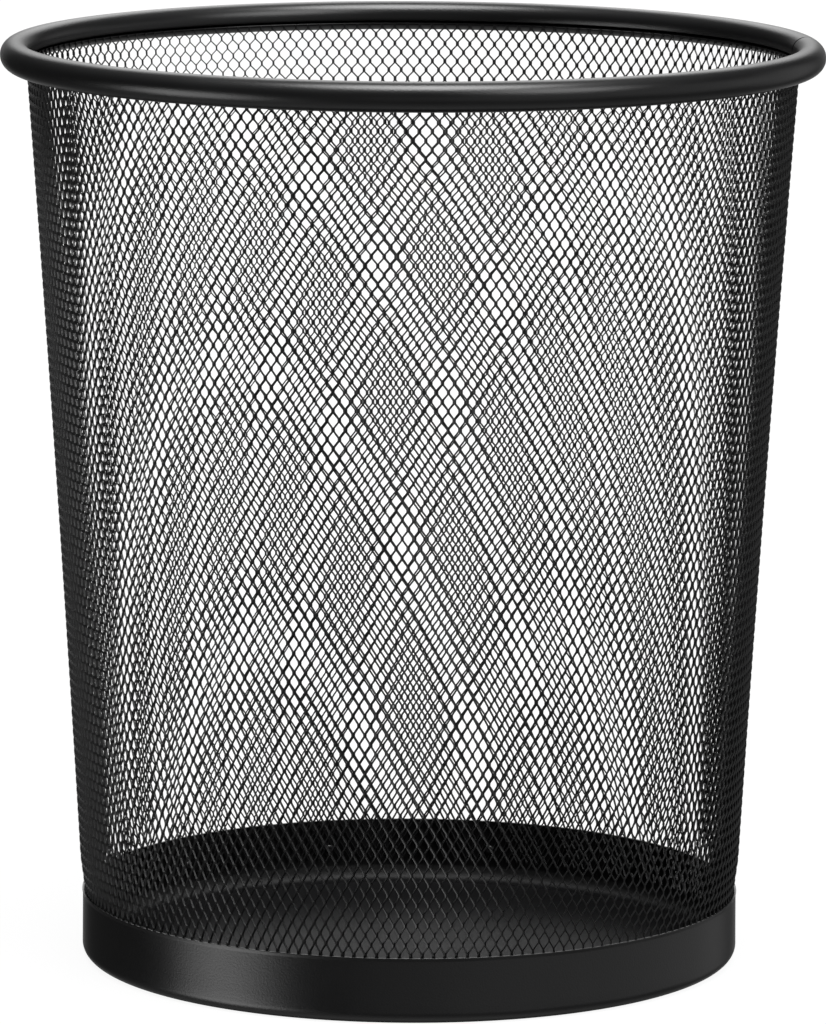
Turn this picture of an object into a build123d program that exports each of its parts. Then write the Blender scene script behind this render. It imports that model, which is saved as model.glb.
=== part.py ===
"""Round office wastebasket of expanded steel mesh, with a tubular rim and a shallow drawn base pan.

Millimetres.  +Z is up, the Z axis is the axis of the bin, and the pan stands on Z = 0.
-Y is the front.  The rim's butt joint and the mesh's lap seam are together at the right end,
a little to the back.
"""
import math
import os

from build123d import *

# Whole bin
BIN_HEIGHT = 333.0          # underside of the pan to the top of the rim
SEAM_AZIMUTH = 6.0          # degrees from +X, where the rim joint and the lap seam are

# Rim: steel tube rolled into a ring
RIM_OUTER_DIAMETER = 295.0
TUBE_DIAMETER = 10.6
TUBE_WALL = 0.8
RIM_JOINT_GAP = 0.5         # space between the tube's two ends, filled by the weld
RIM_JOINT_GROOVE = 0.2      # how far the dressed weld is below the tube's surface

# Mesh wall: expanded steel sheet, rolled into a cone
MESH_THICKNESS = 1.3        # over the tilted strands
WALL_BASE_RADIUS = 116.65   # middle of the sheet, with the cone's line carried down to Z = 0
WALL_SLOPE = 0.0644         # radius gained per unit of height
WALL_WAIST = 0.6            # how far the rolled cone draws in at mid-height
WALL_STRIPS = 16            # conical strips that follow the waist
FOOT_RADIUS = 117.45        # middle of the upright foot inside the pan
FOOT_BOTTOM = 4.6
FOOT_TOP = 24.5
CONE_BOTTOM = 36.0
CONE_TOP_BELOW_TUBE = 2.0   # bend into the rim, below the tube's centre
TUCK_DEPTH = 1.6            # height of the bent edge inside the rim
TUCK_REACH = 1.3            # how far the bent edge leans outwards
LAP_WIDTH = 9.0             # overlap of the sheet's two ends, on the inside
LAP_TOP_MARGIN = 7.0        # the inner layer stops this far below the tube's centre

# Base pan: drawn from sheet
PAN_THICKNESS = 0.6
PAN_TOP_RADIUS = 118.75     # outside of the wall under the bead
PAN_BOTTOM_RADIUS = 118.9   # outside of the wall above the corner
PAN_CORNER_RADIUS = 4.4
BEAD_RADIUS = 0.4           # tightly curled top edge
BEAD_HEIGHT = 23.45         # centre of the curl

# Spot welds
SEAM_WELD_RADIUS = 1.4
SEAM_WELD_COUNT = 8
BASE_WELD_RADIUS = 1.6
BASE_WELD_COUNT = 12
BASE_WELD_HEIGHT = 13.0
BASE_WELD_DEPTH = 0.3       # how far a base weld goes into the pan's wall
WELD_PROUD = 0.15

TUBE_RADIUS = TUBE_DIAMETER / 2
RING_RADIUS = RIM_OUTER_DIAMETER / 2 - TUBE_RADIUS
RING_HEIGHT = BIN_HEIGHT - TUBE_RADIUS
CONE_TOP = RING_HEIGHT - CONE_TOP_BELOW_TUBE


def wall_radius(height):
    """Radius of the middle of the mesh sheet on the cone."""
    along = (height - CONE_BOTTOM) / (CONE_TOP - CONE_BOTTOM)
    waist = WALL_WAIST * 4 * along * (1 - along)
    return WALL_BASE_RADIUS + WALL_SLOPE * height - waist


def wall_line():
    """Middle of the mesh sheet from foot to tucked edge, as (radius, height) points."""
    points = [(FOOT_RADIUS, FOOT_BOTTOM), (FOOT_RADIUS, FOOT_TOP)]
    for step in range(WALL_STRIPS + 1):
        height = CONE_BOTTOM + (CONE_TOP - CONE_BOTTOM) * step / WALL_STRIPS
        points.append((wall_radius(height), height))
    edge_radius, edge_height = points[-1]
    points.append((edge_radius + TUCK_REACH, edge_height + TUCK_DEPTH))
    return points


def offset_line(points, distance):
    """Points moved sideways by distance, outwards when it is positive, with mitred corners."""
    moved = []
    for index, (radius, height) in enumerate(points):
        before = points[max(index - 1, 0)]
        after = points[min(index + 1, len(points) - 1)]
        into = math.atan2(radius - before[0], height - before[1])
        out_of = math.atan2(after[0] - radius, after[1] - height)
        if index == 0:
            into = out_of
        if index == len(points) - 1:
            out_of = into
        lean = (into + out_of) / 2
        reach = distance / math.cos((into - out_of) / 2)
        moved.append((radius + reach * math.cos(lean), height - reach * math.sin(lean)))
    return moved


def revolved_band(inner, outer, arc=360.0):
    """Solid of revolution between two lines of (radius, height) points."""
    outline = Polyline(*inner, *reversed(outer), close=True)
    section = Plane.XZ * make_face(outline)
    return revolve(section, Axis.Z, revolution_arc=arc)


def radial_pin(radius, start, end, azimuth, height):
    """Cylinder that points away from the bin's axis, from one distance to another."""
    pin = Cylinder(radius, end - start, align=(Align.CENTER, Align.CENTER, Align.MIN))
    return Rot(0, 0, azimuth) * Pos(start, 0, height) * Rot(0, 90, 0) * pin


def make_mesh_wall():
    """Closed stand-in for the mesh sheet, with the second layer along its lap seam."""
    line = wall_line()
    half = MESH_THICKNESS / 2
    sheet = revolved_band(offset_line(line, -half), offset_line(line, half))
    lap_top = RING_HEIGHT - LAP_TOP_MARGIN
    lap_line = [(wall_radius(CONE_BOTTOM), CONE_BOTTOM)]
    for step in range(1, WALL_STRIPS):
        height = CONE_BOTTOM + (CONE_TOP - CONE_BOTTOM) * step / WALL_STRIPS
        lap_line.append((wall_radius(height), height))
    lap_line.append((wall_radius(lap_top), lap_top))
    arc = math.degrees(LAP_WIDTH / wall_radius(CONE_BOTTOM))
    lap = revolved_band(offset_line(lap_line, -3 * half), offset_line(lap_line, -half), arc)
    return sheet + Rot(0, 0, SEAM_AZIMUTH - arc / 2) * lap


def make_seam_welds():
    """Spot welds through both layers of the lap seam."""
    low = CONE_BOTTOM + LAP_WIDTH
    high = RING_HEIGHT - LAP_TOP_MARGIN - LAP_WIDTH
    welds = []
    for index in range(SEAM_WELD_COUNT):
        height = low + (high - low) * index / (SEAM_WELD_COUNT - 1)
        start = wall_radius(height) - 1.5 * MESH_THICKNESS - WELD_PROUD
        end = wall_radius(height) + MESH_THICKNESS / 2 + WELD_PROUD
        welds.append(radial_pin(SEAM_WELD_RADIUS, start, end, SEAM_AZIMUTH, height))
    return welds


def make_base_welds():
    """Spot welds that hold the mesh's foot to the pan's wall."""
    start = FOOT_RADIUS - MESH_THICKNESS / 2 - WELD_PROUD
    end = PAN_TOP_RADIUS - PAN_THICKNESS + BASE_WELD_DEPTH
    welds = []
    for index in range(BASE_WELD_COUNT):
        azimuth = 360.0 * (index + 0.5) / BASE_WELD_COUNT
        welds.append(radial_pin(BASE_WELD_RADIUS, start, end, azimuth, BASE_WELD_HEIGHT))
    return welds


def make_pan():
    """Drawn pan: flat floor, rounded corner, upright wall and a curled top edge."""
    corner = PAN_CORNER_RADIUS
    inner_corner = corner - PAN_THICKNESS
    bend_radius = PAN_BOTTOM_RADIUS - corner
    slant = math.sqrt(0.5)
    outside = [
        Line((0, 0), (bend_radius, 0)),
        ThreePointArc(
            (bend_radius, 0),
            (bend_radius + corner * slant, corner - corner * slant),
            (PAN_BOTTOM_RADIUS, corner),
        ),
        Line((PAN_BOTTOM_RADIUS, corner), (PAN_TOP_RADIUS, BEAD_HEIGHT)),
    ]
    top = Line((PAN_TOP_RADIUS, BEAD_HEIGHT), (PAN_TOP_RADIUS - PAN_THICKNESS, BEAD_HEIGHT))
    inside = [
        Line((PAN_TOP_RADIUS - PAN_THICKNESS, BEAD_HEIGHT), (PAN_BOTTOM_RADIUS - PAN_THICKNESS, corner)),
        ThreePointArc(
            (PAN_BOTTOM_RADIUS - PAN_THICKNESS, corner),
            (bend_radius + inner_corner * slant, corner - inner_corner * slant),
            (bend_radius, PAN_THICKNESS),
        ),
        Line((bend_radius, PAN_THICKNESS), (0, PAN_THICKNESS)),
        Line((0, PAN_THICKNESS), (0, 0)),
    ]
    section = make_face(outside + [top] + inside)
    bead = Pos(PAN_TOP_RADIUS - PAN_THICKNESS + BEAD_RADIUS, BEAD_HEIGHT) * Circle(BEAD_RADIUS)
    return revolve(Plane.XZ * (section + bead), Axis.Z)


def make_tube(outer, inner, arc, azimuth):
    """Length of the rim's tube, as an arc of the ring that starts at azimuth."""
    section = Plane.XZ * Pos(RING_RADIUS, RING_HEIGHT) * (Circle(outer) - Circle(inner))
    return Rot(0, 0, azimuth) * revolve(section, Axis.Z, revolution_arc=arc)


def build():
    """All the bin's separate pieces, by node name."""
    mesh_wall = make_mesh_wall()
    pan = make_pan()
    bore = TUBE_RADIUS - TUBE_WALL
    gap_arc = math.degrees(RIM_JOINT_GAP / RING_RADIUS)
    rim_tube = make_tube(TUBE_RADIUS, bore, 360.0 - gap_arc, SEAM_AZIMUTH + gap_arc / 2)
    rim_weld = make_tube(TUBE_RADIUS - RIM_JOINT_GROOVE, bore, gap_arc, SEAM_AZIMUTH - gap_arc / 2)
    rim_tube -= mesh_wall
    rim_weld -= mesh_wall

    seam_welds = make_seam_welds()
    base_welds = make_base_welds()
    for weld in seam_welds:
        mesh_wall -= weld
    for weld in base_welds:
        mesh_wall -= weld
        pan -= weld
    return {
        "rim_tube": rim_tube,
        "rim_joint_weld": rim_weld,
        "mesh_wall": mesh_wall,
        "mesh_seam_welds": Compound(children=seam_welds),
        "base_pan": pan,
        "base_spot_welds": Compound(children=base_welds),
    }


os.makedirs("parts", exist_ok=True)
for node, shape in build().items():
    export_step(shape, f"parts/{node}.step")
    print(node, round(shape.volume, 1), [round(v, 2) for v in shape.bounding_box().size])
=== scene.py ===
"""Looks of the round mesh wastebasket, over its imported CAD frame.

Metres.  +Z is up and -Y is the front.
"""

import math

import bmesh
import bpy
import numpy as np
from mathutils import Matrix, Vector


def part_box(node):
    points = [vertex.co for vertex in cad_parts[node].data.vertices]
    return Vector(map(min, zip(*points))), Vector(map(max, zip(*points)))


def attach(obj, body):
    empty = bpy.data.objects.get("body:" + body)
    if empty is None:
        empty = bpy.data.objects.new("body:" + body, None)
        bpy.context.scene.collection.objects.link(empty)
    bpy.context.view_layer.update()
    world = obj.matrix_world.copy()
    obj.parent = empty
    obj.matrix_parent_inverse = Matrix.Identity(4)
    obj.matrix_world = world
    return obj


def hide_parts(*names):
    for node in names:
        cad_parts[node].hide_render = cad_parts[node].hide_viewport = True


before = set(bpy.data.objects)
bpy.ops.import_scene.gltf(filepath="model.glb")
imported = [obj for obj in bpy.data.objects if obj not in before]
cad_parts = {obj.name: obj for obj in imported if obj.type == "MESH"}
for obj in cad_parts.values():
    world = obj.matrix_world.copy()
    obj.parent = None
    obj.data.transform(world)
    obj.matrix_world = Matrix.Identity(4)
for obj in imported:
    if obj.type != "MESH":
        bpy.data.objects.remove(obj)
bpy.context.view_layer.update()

# Camera, at the photograph's angle
CAMERA_DISTANCE = 2.613
CAMERA_HEIGHT = 0.5971
CAMERA_PITCH = 0.1651
CAMERA_ROLL = 0.0046
CAMERA_LENS = 257.9
CAMERA_SHIFT = 0.00195
CAMERA_REACH = 50
SENSOR_WIDTH = 36.0

# Rim and pan: sections as in the CAD
SEAM_AZIMUTH = math.radians(6)
TUBE_RADIUS = 0.0053
TUBE_WALL = 0.0008
TUBE_STEPS = 72             # round the outside of the tube's section
BORE_STEPS = 36
TUBE_LIP_STEPS = 6
SLOT_WIDTH = 0.0019
JOINT_GAP = 0.0005          # between the tube's two ends
JOINT_GROOVE = 0.00034      # how far the tube draws in at its ends
JOINT_REACH = 0.00035       # how far from its ends it starts to
# Spacing of the tube's sections, from its end on
JOINT_SPACINGS = (0.00012, 0.00015, 0.0002, 0.0003, 0.0005, 0.0008, 0.0012)
JOINT_WELD_OVERLAP = 0.00012
JOINT_WELD_STEPS = 8
JOINT_WELD_SINK = 0.0001    # how far the weld's edges are below the tube's drawn-in ends
# Lumps of the weld's crown: height, number of them round the tube, turn from section to section
JOINT_WELD_LUMPS = ((0.00004, 17, 0.7), (0.00003, 29, 0.0))
PAN_THICKNESS = 0.0006
PAN_TOP_RADIUS = 0.11875
PAN_BOTTOM_RADIUS = 0.1189
PAN_CORNER_RADIUS = 0.0044
PAN_FLOOR_RINGS = (0.01, 0.04, 0.08)
PAN_CORNER_MARGIN = 0.002   # flat ring just inside the corner
PAN_CORNER_STEPS = 14
PAN_INNER_STEPS = 12
BEAD_RADIUS = 0.0004
BEAD_HEIGHT = 0.02345
LIP_ROUNDING = 0.00009      # outer edge of the curl, pressed almost sharp
LIP_ARC = 78                # degrees that the edge turns through
LIP_STEPS = 8
LIP_FALL = 0.00004          # how far the curl's top falls inwards
ROUND_STEPS = 512           # round the rim and the pan

# Mesh wall: its line from foot to rim, as in the CAD
MESH_THICKNESS = 0.0013
WALL_BASE_RADIUS = 0.11665
WALL_SLOPE = 0.0644
WALL_WAIST = 0.0006
FOOT_RADIUS = 0.11745
FOOT_TOP = 0.0245
CONE_BOTTOM = 0.0360
TUCK_DEPTH = 0.0016         # bent edge inside the rim
TUCK_REACH = 0.0013
TUCK_LEAN = 0.63            # sine of the bent edge's angle
LAP_WIDTH = 0.0090
LAP_TOP_MARGIN = 0.0070

# Mesh wall: expanded sheet made of upright zigzag ribbons
COLUMNS = 185               # openings round the wall
RIBBON_WIDTH = 0.00060
RIBBON_THICKNESS = 0.00050
RIBBON_GROWTH = 0.07        # how much thicker a ribbon is at the foot
RIBBON_TILT = math.radians(-55)
BOND_LENGTH = 0.0013        # upright stretch where two ribbons are joined, at the rim
BOND_SHORTENING = 0.0005    # how much shorter it is at the foot
ROWS_PER_METRE_LOW = 272.5  # bond rows, at the floor
ROWS_PER_METRE_RISE = 95.8  # more of them, per metre of height
FIRST_ROW_HEIGHT = 0.20389  # a row that the others are counted from
FIRST_COLUMN = math.radians(-90.307)
COLUMN_TWIST = 0.0340       # radians per metre of height
ROW_DROP = 0.00055          # how far the rows are lower at the back than on the axis
CROWDING_FRONT = 0.00687    # how unevenly the openings are spread round the wall
CROWDING_SIDES = 0.00243
MESH_PARTS = 3              # the wall is stored as this many sectors

# Spot welds
SEAM_WELD_RADIUS = 0.0014
SEAM_WELD_COUNT = 8
BASE_WELD_RADIUS = 0.0016
BASE_WELD_COUNT = 12
BASE_WELD_HEIGHT = 0.0130
BASE_WELD_DEPTH = 0.0003    # how far it goes into the pan's wall
WELD_PROUD = 0.00015
WELD_STEPS = 24
# Dimpled crown of a weld, from its middle out: share of the radius, depth in WELD_PROUDs
WELD_CROWN = [(0.05, 0.5), (0.35, 0.2), (0.6, 0.0), (0.8, 0.3), (0.95, 1.0), (1.0, 2.0)]

# Black powder coat
COAT_TONE = 0.005
COAT_LEVEL = 0.5            # specular level
COAT_DRIFT_SCALE = 38.0
GLOSS_DRIFT = 0.05          # how far the roughness drifts either way
PEEL_DEPTH = 0.0002
CORNER_DULLING = 0.45       # extra roughness in the pan's inside corner
CORNER_BLEND = 0.0001
DUST_LEVEL = 0.02           # specular level of the pan's dusty floor
DUST_LOW = 0.0001           # heights over the floor between which the dust fades
DUST_HIGH = 0.0015

# Studio: floor, and soft lights all round the bin, as azimuth from the front towards the right,
# elevation, half width of the full glow, half width of its fade, and radiance
FLOOR_HALF = 6.0
FLOOR_TONE = 0.06
FLOOR_DRIFT = 0.005
FLOOR_GLOW = 0.93
SOFT_LIGHTS = [
    (12, 78, 10, 25, 12.5),
    (180, 34, 8, 26, 2.5),
    (180, 0, 6, 24, 0.42),
    (180, -30, 10, 30, 0.2),
    (46, 36, 8, 22, 4.3),
    (-68, -24, 8, 24, 3.4),
    (0, -8, 6, 26, 0.22),
    (40, -6, 10, 34, 0.36),
    (85, -3, 10, 34, 0.40),
    (125, -2, 10, 30, 0.3),
]
SKY_TONE = 0.45             # added overhead and underfoot
ROOM_TONE = 0.025
BACKDROP_TONE = 1.0

mesh_low, mesh_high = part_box("mesh_wall")
rim_low, rim_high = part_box("rim_tube")
CONE_TOP = mesh_high.z - TUCK_DEPTH - MESH_THICKNESS / 2 * TUCK_LEAN
RING_RADIUS = rim_high.x - TUBE_RADIUS
RING_HEIGHT = rim_high.z - TUBE_RADIUS


def link(name, mesh, *nodes):
    """New object of the wastebasket that holds this mesh, instead of these CAD nodes."""
    piece = bpy.data.objects.new(name, mesh)
    bpy.context.scene.collection.objects.link(piece)
    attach(piece, "root")
    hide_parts(*nodes)
    return piece


def mesh_from_quads(name, points, quads, smooth):
    """Mesh from an array of points and an array of four-sided faces."""
    mesh = bpy.data.meshes.new(name)
    mesh.vertices.add(len(points))
    mesh.vertices.foreach_set("co", points.astype(np.float32).ravel())
    mesh.loops.add(quads.size)
    mesh.loops.foreach_set("vertex_index", quads.astype(np.int32).ravel())
    mesh.polygons.add(len(quads))
    mesh.polygons.foreach_set("loop_start", np.arange(0, quads.size, 4, dtype=np.int32))
    mesh.polygons.foreach_set("loop_total", np.full(len(quads), 4, dtype=np.int32))
    mesh.polygons.foreach_set("use_smooth", np.full(len(quads), smooth, dtype=bool))
    mesh.update(calc_edges=True)
    mesh.validate()
    return mesh


# Mesh wall
def wall_radius(height):
    """Radius of the middle of the sheet at each height."""
    along = np.clip((height - CONE_BOTTOM) / (CONE_TOP - CONE_BOTTOM), 0, 1)
    cone = WALL_BASE_RADIUS + WALL_SLOPE * height - WALL_WAIST * 4 * along * (1 - along)
    cone_start = WALL_BASE_RADIUS + WALL_SLOPE * CONE_BOTTOM
    cone_end = WALL_BASE_RADIUS + WALL_SLOPE * CONE_TOP
    flare = np.clip((height - FOOT_TOP) / (CONE_BOTTOM - FOOT_TOP), 0, 1)
    foot = FOOT_RADIUS + (cone_start - FOOT_RADIUS) * flare
    tuck = cone_end + TUCK_REACH * (height - CONE_TOP) / TUCK_DEPTH
    return np.where(height < CONE_BOTTOM, foot, np.where(height > CONE_TOP, tuck, cone))


def rows_up_to(height):
    """Number of bond rows from the floor up to this height."""
    return ROWS_PER_METRE_LOW * height + ROWS_PER_METRE_RISE * height ** 2 / 2


def row_heights(low, high):
    """Heights of the bond rows between two heights, and whether each is on the even columns."""
    first = rows_up_to(FIRST_ROW_HEIGHT)
    counts = np.arange(
        math.ceil(rows_up_to(low + BOND_LENGTH) - first),
        math.floor(rows_up_to(high - BOND_LENGTH) - first) + 1,
    )
    lead = ROWS_PER_METRE_LOW / ROWS_PER_METRE_RISE
    return np.sqrt(lead ** 2 + 2 * (first + counts) / ROWS_PER_METRE_RISE) - lead, counts % 2 == 0


def ribbon_lines(columns, low, high, depth):
    """Middles of the ribbons that start at these half columns: angle, radius, height, side."""
    heights, even = row_heights(low, high)
    on_left = (columns[:, None] % 2 == 0) == even[None, :]
    side = np.where(on_left, 1.0, -1.0)
    place = columns[:, None] + np.where(on_left, 0, 1)
    angle = FIRST_COLUMN + math.pi / COLUMNS * place
    angle = angle + COLUMN_TWIST * (heights[None, :] - FIRST_ROW_HEIGHT)
    angle = angle - CROWDING_FRONT * np.cos(angle) - CROWDING_SIDES * np.sin(2 * angle)
    level = heights[None, :] - ROW_DROP * np.sin(angle)
    lines = []
    for step in (-0.5, 0.5):
        bond = BOND_LENGTH - BOND_SHORTENING * (1 - level / RING_HEIGHT)
        height = np.clip(level + step * bond, low, high)
        lines.append(np.stack([angle, wall_radius(height) - depth, height, side], axis=-1))
    return np.stack(lines, axis=2).reshape(len(columns), -1, 4)


def ribbon_mesh(name, columns, low, high, depth=0.0):
    """Closed four-sided ribbons that zigzag up the wall."""
    angle, radius, height, side = np.moveaxis(ribbon_lines(columns, low, high, depth), -1, 0)
    across = np.array([math.cos(RIBBON_TILT), math.sin(RIBBON_TILT)])
    through = np.array([-across[1], across[0]])
    size = 1 + RIBBON_GROWTH * (1 - height[..., None] / RING_HEIGHT)
    rings = []
    for wide, thick in ((-0.5, -0.5), (0.5, -0.5), (0.5, 0.5), (-0.5, 0.5)):
        shift = (side[..., None] * 0.5 + wide) * RIBBON_WIDTH * across
        shift = (shift + thick * RIBBON_THICKNESS * through) * size
        out = radius + shift[..., 1]
        x = out * np.cos(angle) - shift[..., 0] * np.sin(angle)
        y = out * np.sin(angle) + shift[..., 0] * np.cos(angle)
        rings.append(np.stack([x, y, height], axis=-1))
    points = np.stack(rings, axis=2)
    ribbons, steps = points.shape[:2]
    index = np.arange(ribbons * steps * 4).reshape(ribbons, steps, 4)
    quads = [index[:, 0, ::-1], index[:, -1, :]]
    for corner in range(4):
        other = (corner + 1) % 4
        below, above = index[:, :-1], index[:, 1:]
        sides = (below[..., corner], below[..., other], above[..., other], above[..., corner])
        quads.append(np.stack(sides, axis=-1).reshape(-1, 4))
    return mesh_from_quads(name, points.reshape(-1, 3), np.concatenate(quads), False)


def lathe(name, outline, angles, scale=None, closed=False):
    """Turned mesh of an outline of (radius, height) points, at these angles round the axis.

    An outline that starts and ends on the axis makes a disc, and any other is a ring's section.
    """
    outline = np.array(outline)
    rings = []
    for index, angle in enumerate(angles):
        section = outline if scale is None else scale(index, outline)
        radius, height = section[:, 0], section[:, 1]
        rings.append(np.stack([radius * np.cos(angle), radius * np.sin(angle), height], axis=-1))
    points = np.stack(rings)
    steps, count = points.shape[:2]
    index = np.arange(steps * count).reshape(steps, count)
    after = np.roll(index, -1, axis=1)
    if closed:
        near, far = index, np.roll(index, -1, axis=0)
        near_after, far_after = after, np.roll(after, -1, axis=0)
    else:
        near, far, near_after, far_after = index[:-1], index[1:], after[:-1], after[1:]
    on_axis = outline[0][0] == 0
    if on_axis:
        near, far = near[:, :-1], far[:, :-1]
        near_after, far_after = near_after[:, :-1], far_after[:, :-1]
    quads = np.stack([near, far, far_after, near_after], axis=-1).reshape(-1, 4)
    mesh = mesh_from_quads(name, points.reshape(-1, 3), quads, True)
    if on_axis:
        work = bmesh.new()
        work.from_mesh(mesh)
        bmesh.ops.remove_doubles(work, verts=work.verts, dist=1e-7)
        work.to_mesh(mesh)
        work.free()
    return mesh


def arc_points(centre, radius, start, end, steps):
    """Points along an arc, by angles in degrees in the (radius, height) plane."""
    turns = np.radians(np.linspace(start, end, steps + 1))
    return [(centre[0] + radius * math.cos(t), centre[1] + radius * math.sin(t)) for t in turns]


# Rim: a slit tube whose two ends meet at a dressed weld
def tube_outline():
    """C-shaped section of the rim's tube, open where the mesh goes in."""
    centre = (RING_RADIUS, RING_HEIGHT)
    entry_radius = float(wall_radius(np.array(CONE_TOP)))
    middle = math.degrees(math.atan2(CONE_TOP - RING_HEIGHT, entry_radius - RING_RADIUS))
    half = math.degrees(SLOT_WIDTH / 2 / TUBE_RADIUS)
    bore = TUBE_RADIUS - TUBE_WALL
    lip = TUBE_WALL / 2
    start, end = middle + half, middle + 360 - half

    def rounding(edge, first):
        turn = math.radians(edge)
        reach = bore + lip
        at = (centre[0] + reach * math.cos(turn), centre[1] + reach * math.sin(turn))
        return arc_points(at, lip, first, first + 180, TUBE_LIP_STEPS)[1:-1]

    outline = arc_points(centre, TUBE_RADIUS, start, end, TUBE_STEPS)
    outline += rounding(end, end)
    outline += arc_points(centre, bore, end, start, BORE_STEPS)
    outline += rounding(start, start + 180)
    return outline


def rim_angles():
    """Angles round the rim, from one end of the tube to the other, closer near the ends."""
    start = SEAM_AZIMUTH + JOINT_GAP / 2 / RING_RADIUS
    end = SEAM_AZIMUTH + 2 * math.pi - JOINT_GAP / 2 / RING_RADIUS
    near = np.cumsum(JOINT_SPACINGS) / RING_RADIUS
    middle = np.linspace(start + near[-1], end - near[-1], ROUND_STEPS)
    return np.concatenate([[start], start + near[:-1], middle, (end - near[:-1])[::-1], [end]])


def joint_scale(angles):
    """Function that draws the tube in at its two ends."""
    centre = np.array([RING_RADIUS, RING_HEIGHT])

    def scaled(index, outline):
        before = (angles[index] - angles[0]) * RING_RADIUS
        after = (angles[-1] - angles[index]) * RING_RADIUS
        crease = math.exp(-(min(before, after) / JOINT_REACH) ** 2)
        return centre + (outline - centre) * (1 - JOINT_GROOVE * crease / TUBE_RADIUS)

    return scaled


def cap_ends(mesh, count, steps):
    """Closes both ends of an open lathed ring."""
    work = bmesh.new()
    work.from_mesh(mesh)
    work.verts.ensure_lookup_table()
    first = [work.verts[i] for i in range(count)]
    last = [work.verts[(steps - 1) * count + i] for i in range(count)]
    caps = [work.faces.new(first), work.faces.new(last[::-1])]
    bmesh.ops.triangulate(work, faces=caps)
    bmesh.ops.recalc_face_normals(work, faces=work.faces)
    work.to_mesh(mesh)
    work.free()


section = tube_outline()
angles = rim_angles()
rim_mesh = lathe("rim_tube", section, angles, joint_scale(angles))
cap_ends(rim_mesh, len(section), len(angles))

weld_half = JOINT_GAP / 2 + JOINT_WELD_OVERLAP
weld_spots = np.linspace(-weld_half, weld_half, JOINT_WELD_STEPS + 1)
weld_angles = SEAM_AZIMUTH + weld_spots / RING_RADIUS


def weld_scale(index, outline):
    """Sinks the joint's weld below the tube, with a slightly lumpy crown."""
    centre = np.array([RING_RADIUS, RING_HEIGHT])
    offset = outline - centre
    turn = np.arctan2(offset[:, 1], offset[:, 0])
    crown = math.cos((index / JOINT_WELD_STEPS - 0.5) * math.pi)
    lumps = sum(high * np.sin(n * turn + drift * index) for high, n, drift in JOINT_WELD_LUMPS)
    sink = -JOINT_GROOVE - JOINT_WELD_SINK
    growth = (sink + crown * (JOINT_WELD_SINK + lumps)) / TUBE_RADIUS
    return centre + offset * (1 + growth[:, None])


weld_mesh = lathe("rim_joint_weld", section, weld_angles, weld_scale)
cap_ends(weld_mesh, len(section), len(weld_angles))


# Base pan: drawn sheet with a rounded corner and a curled edge
def pan_outline():
    """Section of the pan, from the middle of its underside round to the middle of its floor."""
    floor_rings = [*PAN_FLOOR_RINGS, PAN_BOTTOM_RADIUS - PAN_CORNER_RADIUS - PAN_CORNER_MARGIN]
    inner_corner = PAN_CORNER_RADIUS - PAN_THICKNESS
    bend = (PAN_BOTTOM_RADIUS - PAN_CORNER_RADIUS, PAN_CORNER_RADIUS)
    inside = PAN_TOP_RADIUS - PAN_THICKNESS
    lip_radius = inside + 2 * BEAD_RADIUS
    lip_top = BEAD_HEIGHT + BEAD_RADIUS
    lip = (lip_radius - LIP_ROUNDING, lip_top - LIP_ROUNDING)
    curl_start = BEAD_HEIGHT - 2 * BEAD_RADIUS
    edge = lip_top - LIP_FALL

    outline = [(0, 0)] + [(radius, 0) for radius in floor_rings]
    outline += arc_points(bend, PAN_CORNER_RADIUS, -90, 0, PAN_CORNER_STEPS)
    # Outside of the wall, then the curl, with close loops that keep the shading of its bends tight
    outline += [
        (PAN_BOTTOM_RADIUS - 0.00004, 0.008),
        (PAN_TOP_RADIUS + 0.00003, 0.018),
        (PAN_TOP_RADIUS, curl_start - 0.0003),
        (PAN_TOP_RADIUS, curl_start),
        (lip_radius - 0.00002, BEAD_HEIGHT - 0.0001),
        (lip_radius, BEAD_HEIGHT),
    ]
    outline += arc_points(lip, LIP_ROUNDING, 0, LIP_ARC, LIP_STEPS)
    outline += [
        (inside + 0.0003, edge),
        (inside + 0.00012, edge),
        (inside + 0.00006, edge - 0.00001),
        (inside + 0.00001, edge - 0.00006),
        (inside, edge - 0.00012),
        (inside, edge - 0.0003),
        (inside + 0.00004, 0.016),
    ]
    outline += arc_points(bend, inner_corner, 0, -90, PAN_INNER_STEPS)
    outline += [(radius, PAN_THICKNESS) for radius in reversed(floor_rings)]
    return outline + [(0, PAN_THICKNESS)]


pan_angles = np.linspace(0, 2 * math.pi, ROUND_STEPS, endpoint=False)
pan_mesh = lathe("base_pan", pan_outline(), pan_angles, closed=True)


# Spot welds: shallow buttons with a dimpled crown on both faces
def weld_buttons(name, places):
    """One mesh of buttons that point away from the axis: radius, start, end, azimuth, height."""
    points, quads = [], []
    turns = np.linspace(0, 2 * math.pi, WELD_STEPS, endpoint=False)
    for radius, start, end, azimuth, height in places:
        profile = [(wide, start + depth * WELD_PROUD) for wide, depth in WELD_CROWN]
        profile += [(wide, end - depth * WELD_PROUD) for wide, depth in reversed(WELD_CROWN)]
        first = len(points)
        side = Vector((-math.sin(azimuth), math.cos(azimuth), 0))
        outward = Vector((math.cos(azimuth), math.sin(azimuth), 0))
        for wide, out in profile:
            for turn in turns:
                spot = outward * out + side * (radius * wide * math.cos(turn))
                points.append((spot.x, spot.y, height + radius * wide * math.sin(turn)))
        for row in range(len(profile) - 1):
            here = first + row * WELD_STEPS
            there = here + WELD_STEPS
            for step in range(WELD_STEPS):
                after = (step + 1) % WELD_STEPS
                quads.append((here + step, here + after, there + after, there + step))
    return mesh_from_quads(name, np.array(points), np.array(quads), True)


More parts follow.
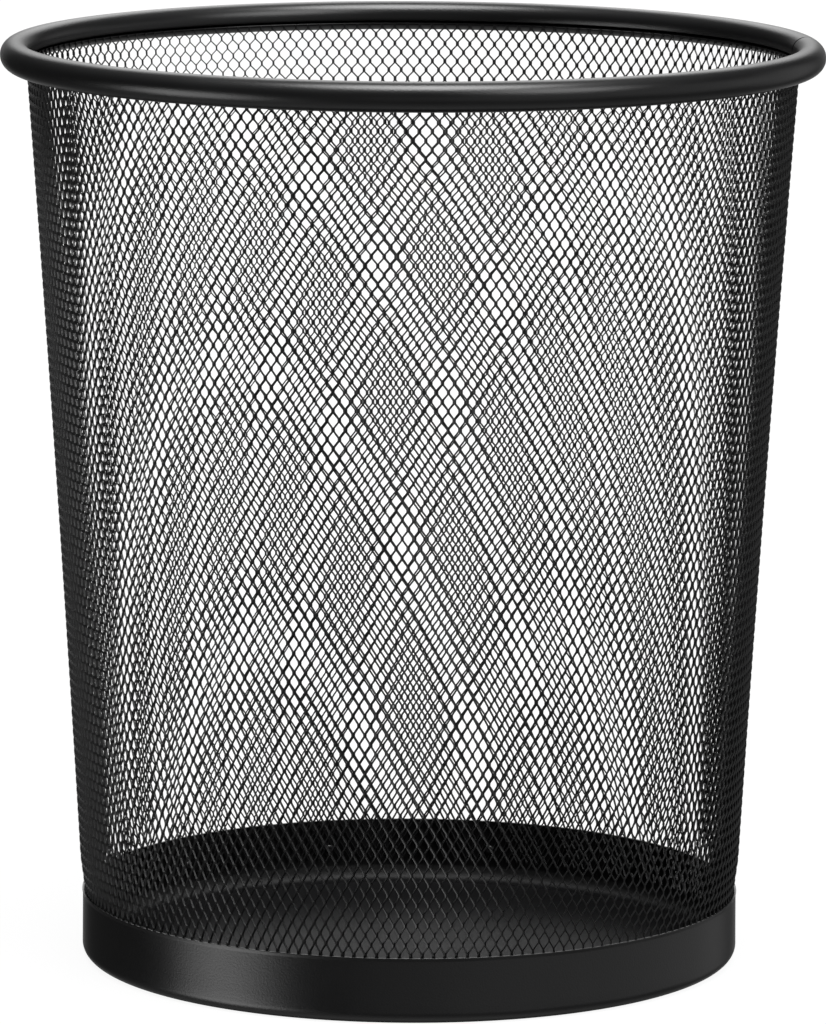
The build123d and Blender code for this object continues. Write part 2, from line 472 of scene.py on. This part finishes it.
seam_low = CONE_BOTTOM + LAP_WIDTH
seam_high = RING_HEIGHT - LAP_TOP_MARGIN - LAP_WIDTH
seam_places = []
for height in np.linspace(seam_low, seam_high, SEAM_WELD_COUNT):
    wall = float(wall_radius(np.array(height)))
    start = wall - 1.5 * MESH_THICKNESS - WELD_PROUD
    end = wall + MESH_THICKNESS / 2 + WELD_PROUD
    seam_places.append((SEAM_WELD_RADIUS, start, end, SEAM_AZIMUTH, float(height)))
base_places = []
for index in range(BASE_WELD_COUNT):
    azimuth = 2 * math.pi * (index + 0.5) / BASE_WELD_COUNT
    start = FOOT_RADIUS - MESH_THICKNESS / 2 - WELD_PROUD
    end = PAN_TOP_RADIUS - PAN_THICKNESS + BASE_WELD_DEPTH
    base_places.append((BASE_WELD_RADIUS, start, end, azimuth, BASE_WELD_HEIGHT))


# Materials
def vector_maths(tree, operation, source, constant=None):
    """Vector Math node on this output, and on a constant vector where there is one."""
    node = tree.nodes.new("ShaderNodeVectorMath")
    node.operation = operation
    if constant is not None:
        node.inputs[1].default_value = constant
    tree.links.new(source, node.inputs[0])
    return node.outputs


def smooth_range(tree, source, start, end, at_start, at_end):
    """Output that goes smoothly from one value to another while this one goes from start to end."""
    node = tree.nodes.new("ShaderNodeMapRange")
    node.interpolation_type = "SMOOTHSTEP"
    node.inputs["From Min"].default_value = start
    node.inputs["From Max"].default_value = end
    node.inputs["To Min"].default_value = at_start
    node.inputs["To Max"].default_value = at_end
    tree.links.new(source, node.inputs["Value"])
    return node.outputs["Result"]


def dull_inside(tree, place, roughness):
    """Dry coat in the pan's inside corner and dust on its floor: roughness and specular level."""
    flat = vector_maths(tree, "MULTIPLY", place, (1, 1, 0))["Vector"]
    upright = vector_maths(tree, "MULTIPLY", place, (0, 0, 1))["Vector"]
    radius = vector_maths(tree, "LENGTH", flat)["Value"]
    height = vector_maths(tree, "LENGTH", upright)["Value"]
    section = tree.nodes.new("ShaderNodeCombineXYZ")
    tree.links.new(radius, section.inputs["X"])
    tree.links.new(height, section.inputs["Z"])
    bend = (PAN_BOTTOM_RADIUS - PAN_CORNER_RADIUS, 0, PAN_CORNER_RADIUS)
    distance = vector_maths(tree, "DISTANCE", section.outputs["Vector"], bend)["Value"]
    start = PAN_CORNER_RADIUS - PAN_THICKNESS + CORNER_BLEND
    end = PAN_CORNER_RADIUS - CORNER_BLEND
    dulling = smooth_range(tree, distance, start, end, CORNER_DULLING, 0.0)
    total = tree.nodes.new("ShaderNodeMath")
    tree.links.new(roughness, total.inputs[0])
    tree.links.new(dulling, total.inputs[1])
    low, high = PAN_THICKNESS + DUST_LOW, PAN_THICKNESS + DUST_HIGH
    level = smooth_range(tree, height, low, high, DUST_LEVEL, COAT_LEVEL)
    return total.outputs["Value"], level


def powder_coat(name, roughness, peel, peel_scale, in_pan=False):
    """Satin black powder coat: faint colour drift, uneven gloss and an orange-peel skin."""
    material = bpy.data.materials.new(name)
    material.use_nodes = True
    tree = material.node_tree
    shader = tree.nodes["Principled BSDF"]
    place = tree.nodes.new("ShaderNodeTexCoord").outputs["Object"]
    drift = tree.nodes.new("ShaderNodeTexNoise")
    drift.inputs["Scale"].default_value = COAT_DRIFT_SCALE
    drift.inputs["Detail"].default_value = 3.0
    grain = tree.nodes.new("ShaderNodeTexNoise")
    grain.inputs["Scale"].default_value = peel_scale
    grain.inputs["Detail"].default_value = 2.0
    tint = tree.nodes.new("ShaderNodeMix")
    tint.data_type = "RGBA"
    tint.inputs["A"].default_value = (COAT_TONE * 0.8, COAT_TONE * 0.8, COAT_TONE * 0.84, 1)
    tint.inputs["B"].default_value = (COAT_TONE * 1.25, COAT_TONE * 1.25, COAT_TONE * 1.3, 1)
    gloss = tree.nodes.new("ShaderNodeMapRange")
    gloss.inputs["To Min"].default_value = roughness - GLOSS_DRIFT
    gloss.inputs["To Max"].default_value = roughness + GLOSS_DRIFT
    bump = tree.nodes.new("ShaderNodeBump")
    bump.inputs["Strength"].default_value = peel
    bump.inputs["Distance"].default_value = PEEL_DEPTH
    for texture in (drift, grain):
        tree.links.new(place, texture.inputs["Vector"])
    tree.links.new(drift.outputs["Fac"], tint.inputs["Factor"])
    tree.links.new(drift.outputs["Fac"], gloss.inputs["Value"])
    tree.links.new(grain.outputs["Fac"], bump.inputs["Height"])
    tree.links.new(tint.outputs["Result"], shader.inputs["Base Color"])
    tree.links.new(bump.outputs["Normal"], shader.inputs["Normal"])
    shader.inputs["Specular IOR Level"].default_value = COAT_LEVEL
    dullness = gloss.outputs["Result"]
    if in_pan:
        dullness, level = dull_inside(tree, place, dullness)
        tree.links.new(level, shader.inputs["Specular IOR Level"])
    tree.links.new(dullness, shader.inputs["Roughness"])
    return material


coat = powder_coat("black_coat", 0.30, 0.22, 1500.0)
pan_coat = powder_coat("black_coat_pan", 0.30, 0.22, 1500.0, True)
mesh_coat = powder_coat("black_coat_mesh", 0.38, 0.15, 2200.0)

pieces = [
    (rim_mesh, coat, "rim_tube"),
    (weld_mesh, coat, "rim_joint_weld"),
    (pan_mesh, pan_coat, "base_pan"),
    (weld_buttons("mesh_seam_welds", seam_places), mesh_coat, "mesh_seam_welds"),
    (weld_buttons("base_spot_welds", base_places), mesh_coat, "base_spot_welds"),
]
for index in range(MESH_PARTS):
    first = 2 * COLUMNS * index // MESH_PARTS
    last = 2 * COLUMNS * (index + 1) // MESH_PARTS
    sector = ribbon_mesh(f"mesh_wall_{index + 1}", np.arange(first, last), mesh_low.z, mesh_high.z)
    pieces.append((sector, mesh_coat, "mesh_wall"))
seam_column = (SEAM_AZIMUTH - FIRST_COLUMN) / math.pi * COLUMNS
lap_half = LAP_WIDTH / 2 / FOOT_RADIUS / math.pi * COLUMNS
lap_columns = np.arange(math.ceil(seam_column - lap_half), math.floor(seam_column + lap_half))
lap_top = RING_HEIGHT - LAP_TOP_MARGIN
lap = ribbon_mesh("mesh_wall_lap", lap_columns, CONE_BOTTOM, lap_top, MESH_THICKNESS)
pieces.append((lap, mesh_coat, "mesh_wall"))
for mesh, material, node in pieces:
    mesh.materials.append(material)
    link(mesh.name, mesh, node)


# Floor
def pale_floor():
    """Plain pale floor that runs out of sight, seen by the camera alone.

    The world stands in for the light that a floor would bounce.
    """
    half = FLOOR_HALF
    corners = np.array([(-half, -half, 0), (half, -half, 0), (half, half, 0), (-half, half, 0)])
    mesh = mesh_from_quads("floor", corners, np.array([[0, 1, 2, 3]]), False)
    floor = bpy.data.objects.new("floor", mesh)
    bpy.context.scene.collection.objects.link(floor)
    material = bpy.data.materials.new("pale_floor")
    material.use_nodes = True
    tree = material.node_tree
    shader = tree.nodes["Principled BSDF"]
    noise = tree.nodes.new("ShaderNodeTexNoise")
    noise.inputs["Scale"].default_value = 3.0
    tint = tree.nodes.new("ShaderNodeMix")
    tint.data_type = "RGBA"
    tint.inputs["A"].default_value = (FLOOR_TONE - FLOOR_DRIFT,) * 3 + (1,)
    tint.inputs["B"].default_value = (FLOOR_TONE + FLOOR_DRIFT,) * 3 + (1,)
    tree.links.new(noise.outputs["Fac"], tint.inputs["Factor"])
    tree.links.new(tint.outputs["Result"], shader.inputs["Base Color"])
    shader.inputs["Roughness"].default_value = 1.0
    shader.inputs["Specular IOR Level"].default_value = 0.0
    shader.inputs["Emission Color"].default_value = (1, 1, 1, 1)
    shader.inputs["Emission Strength"].default_value = FLOOR_GLOW
    mesh.materials.append(material)
    floor.visible_glossy = False
    floor.visible_diffuse = False
    floor.visible_shadow = False


def studio_world():
    """World with soft lights in a dim room, and an even white backdrop for the camera alone."""
    world = bpy.data.worlds.new("studio")
    bpy.context.scene.world = world
    world.use_nodes = True
    tree = world.node_tree
    room = tree.nodes["Background"]
    place = tree.nodes.new("ShaderNodeTexCoord").outputs["Generated"]

    def maths(operation, first, second):
        node = tree.nodes.new("ShaderNodeMath")
        node.operation = operation
        for socket, value in zip(node.inputs, (first, second)):
            if isinstance(value, float):
                socket.default_value = value
            else:
                tree.links.new(value, socket)
        return node.outputs["Value"]

    def glow(azimuth, elevation, full, faded, radiance):
        a, e = math.radians(azimuth), math.radians(elevation)
        toward = (math.sin(a) * math.cos(e), -math.cos(a) * math.cos(e), math.sin(e))
        dot = vector_maths(tree, "DOT_PRODUCT", place, toward)["Value"]
        start, end = math.cos(math.radians(faded)), math.cos(math.radians(full))
        return smooth_range(tree, dot, start, end, 0.0, radiance)

    split = tree.nodes.new("ShaderNodeSeparateXYZ")
    tree.links.new(place, split.inputs["Vector"])
    steepness = maths("POWER", maths("ABSOLUTE", split.outputs["Z"], 0.0), 3.0)
    total = maths("ADD", maths("MULTIPLY", steepness, SKY_TONE), ROOM_TONE)
    for light in SOFT_LIGHTS:
        total = maths("ADD", total, glow(*light))
    tree.links.new(total, room.inputs["Strength"])
    room.inputs["Color"].default_value = (1, 1, 1, 1)

    backdrop = tree.nodes.new("ShaderNodeBackground")
    backdrop.inputs["Strength"].default_value = BACKDROP_TONE
    backdrop.inputs["Color"].default_value = (1, 1, 1, 1)
    ray = tree.nodes.new("ShaderNodeLightPath")
    mix = tree.nodes.new("ShaderNodeMixShader")
    tree.links.new(ray.outputs["Is Camera Ray"], mix.inputs[0])
    tree.links.new(room.outputs["Background"], mix.inputs[1])
    tree.links.new(backdrop.outputs["Background"], mix.inputs[2])
    tree.links.new(mix.outputs["Shader"], tree.nodes["World Output"].inputs["Surface"])


pale_floor()
studio_world()
bpy.context.scene.view_settings.view_transform = "Standard"

camera_data = bpy.data.cameras.new("camera")
camera_data.lens = CAMERA_LENS
camera_data.sensor_width = SENSOR_WIDTH
camera_data.shift_x = CAMERA_SHIFT
camera_data.clip_end = CAMERA_REACH
camera = bpy.data.objects.new("camera", camera_data)
bpy.context.scene.collection.objects.link(camera)
camera.matrix_world = (
    Matrix.Translation((0, -CAMERA_DISTANCE, CAMERA_HEIGHT))
    @ Matrix.Rotation(math.pi / 2 - CAMERA_PITCH, 4, "X")
    @ Matrix.Rotation(CAMERA_ROLL, 4, "Z")
)
bpy.context.scene.camera = camera
